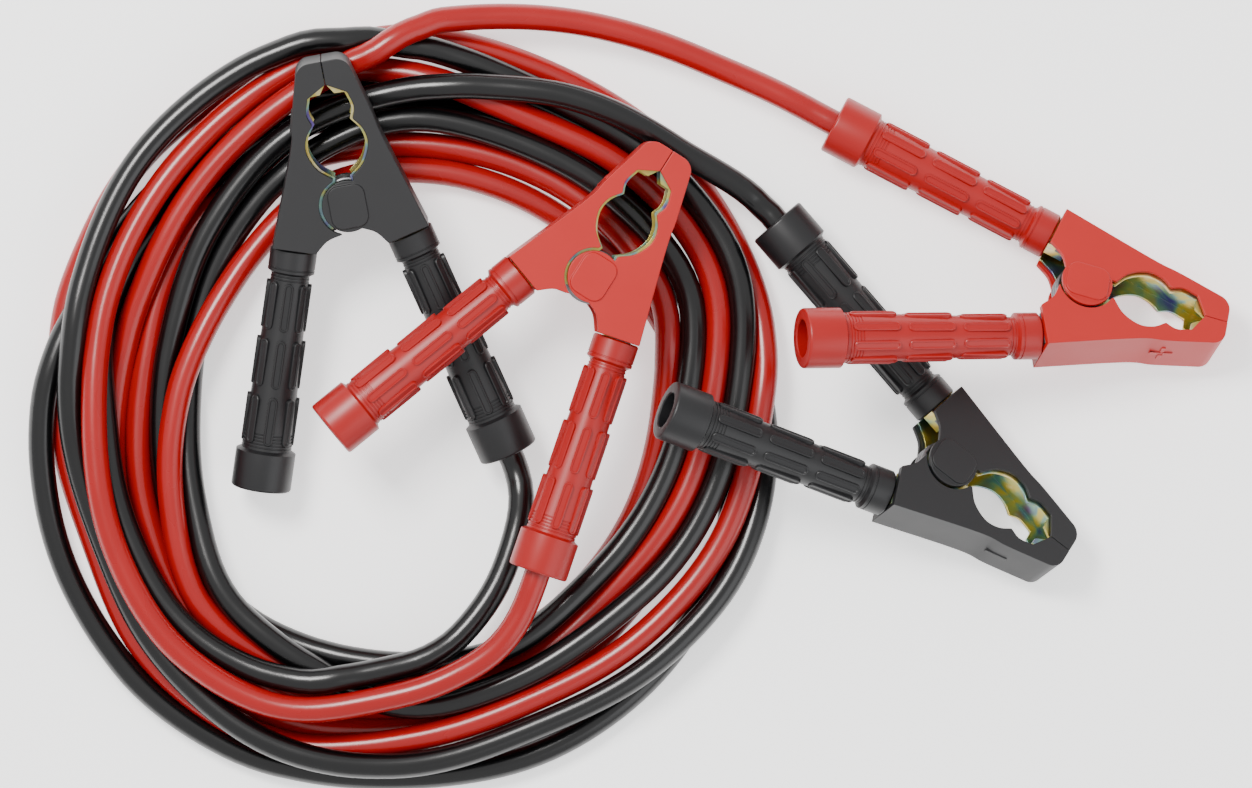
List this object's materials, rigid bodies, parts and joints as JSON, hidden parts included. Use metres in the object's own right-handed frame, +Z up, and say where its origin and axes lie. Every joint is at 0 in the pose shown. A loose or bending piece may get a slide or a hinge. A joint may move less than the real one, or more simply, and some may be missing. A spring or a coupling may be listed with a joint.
{
  "type": "car jumper cable set",
  "caption": "Loosely coiled red and black jumper cables with an insulated spring clamp on each end, for starting one vehicle from another.",
  "frame": {"origin": "on the floor, under the middle of the box round the four clamps", "axes": "+X from the coil towards the two clamps that lie beside it, +Y towards the side where their cables leave the coil, +Z up from the floor"},
  "size_m": [0.5523, 0.363, 0.0864],
  "materials": {
    "red_cover": "moulded, satin",
    "black_cover": "moulded, matte",
    "red_cable": "extruded sheath, glossy",
    "black_cable": "extruded sheath, glossy",
    "jaw_steel": "pressed sheet, yellow zinc plated",
    "spring_steel": "drawn wire"
  },
  "bodies": {
    "cable_set": {"coil": "red_cable", "black_left_cable_cover": "black_cover", "black_left_cable_jaw": "jaw_steel", "black_left_cable_grip": "black_cover", "black_left_pivot_pin": "jaw_steel", "black_left_spring": "spring_steel", "black_left_lead": "black_cable", "red_left_cable_cover": "red_cover", "red_left_cable_jaw": "jaw_steel", "red_left_cable_grip": "red_cover", "red_left_pivot_pin": "jaw_steel", "red_left_spring": "spring_steel", "red_left_lead": "red_cable", "black_right_cable_cover": "black_cover", "black_right_cable_jaw": "jaw_steel", "black_right_cable_grip": "black_cover", "black_right_pivot_pin": "jaw_steel", "black_right_spring": "spring_steel", "black_right_lead": "black_cable", "red_right_cable_cover": "red_cover", "red_right_cable_jaw": "jaw_steel", "red_right_cable_grip": "red_cover", "red_right_pivot_pin": "jaw_steel", "red_right_spring": "spring_steel", "red_right_lead": "red_cable"},
    "black_left_free_half": {"black_left_free_cover": "black_cover", "black_left_free_jaw": "jaw_steel", "black_left_free_grip": "black_cover"},
    "red_left_free_half": {"red_left_free_cover": "red_cover", "red_left_free_jaw": "jaw_steel", "red_left_free_grip": "red_cover"},
    "black_right_free_half": {"black_right_free_cover": "black_cover", "black_right_free_jaw": "jaw_steel", "black_right_free_grip": "black_cover"},
    "red_right_free_half": {"red_right_free_cover": "red_cover", "red_right_free_jaw": "jaw_steel", "red_right_free_grip": "red_cover"}
  },
  "joints": [
    {"name": "black_left_clamp", "type": "hinge", "parent": "cable_set", "child": "black_left_free_half", "pos_m": [-0.1754, 0.0528, 0.0396], "axis": [0.0316, -0.1707, 0.9848], "range_deg": [0, 28], "stiffness_Nm_per_rad": 0.6, "springref_deg": -20.05, "deforming": ["black_left_spring"]},
    {"name": "red_left_clamp", "type": "hinge", "parent": "cable_set", "child": "red_left_free_half", "pos_m": [-0.0637, 0.0188, 0.046], "axis": [0.0757, -0.0271, 0.9968], "range_deg": [0, 28], "stiffness_Nm_per_rad": 0.6, "springref_deg": -20.05, "deforming": ["red_left_spring"]},
    {"name": "black_right_clamp", "type": "hinge", "parent": "cable_set", "child": "black_right_free_half", "pos_m": [0.0974, -0.07, 0.0259], "axis": [-0.3941, -0.3279, -0.8586], "range_deg": [0, 28], "stiffness_Nm_per_rad": 0.6, "springref_deg": -20.05, "deforming": ["black_right_spring"]},
    {"name": "red_right_clamp", "type": "hinge", "parent": "cable_set", "child": "red_right_free_half", "pos_m": [0.1606, 0.011, 0.0259], "axis": [-0.2465, -0.4495, -0.8586], "range_deg": [0, 28], "stiffness_Nm_per_rad": 0.6, "springref_deg": -20.05, "deforming": ["red_right_spring"]}
  ]
}
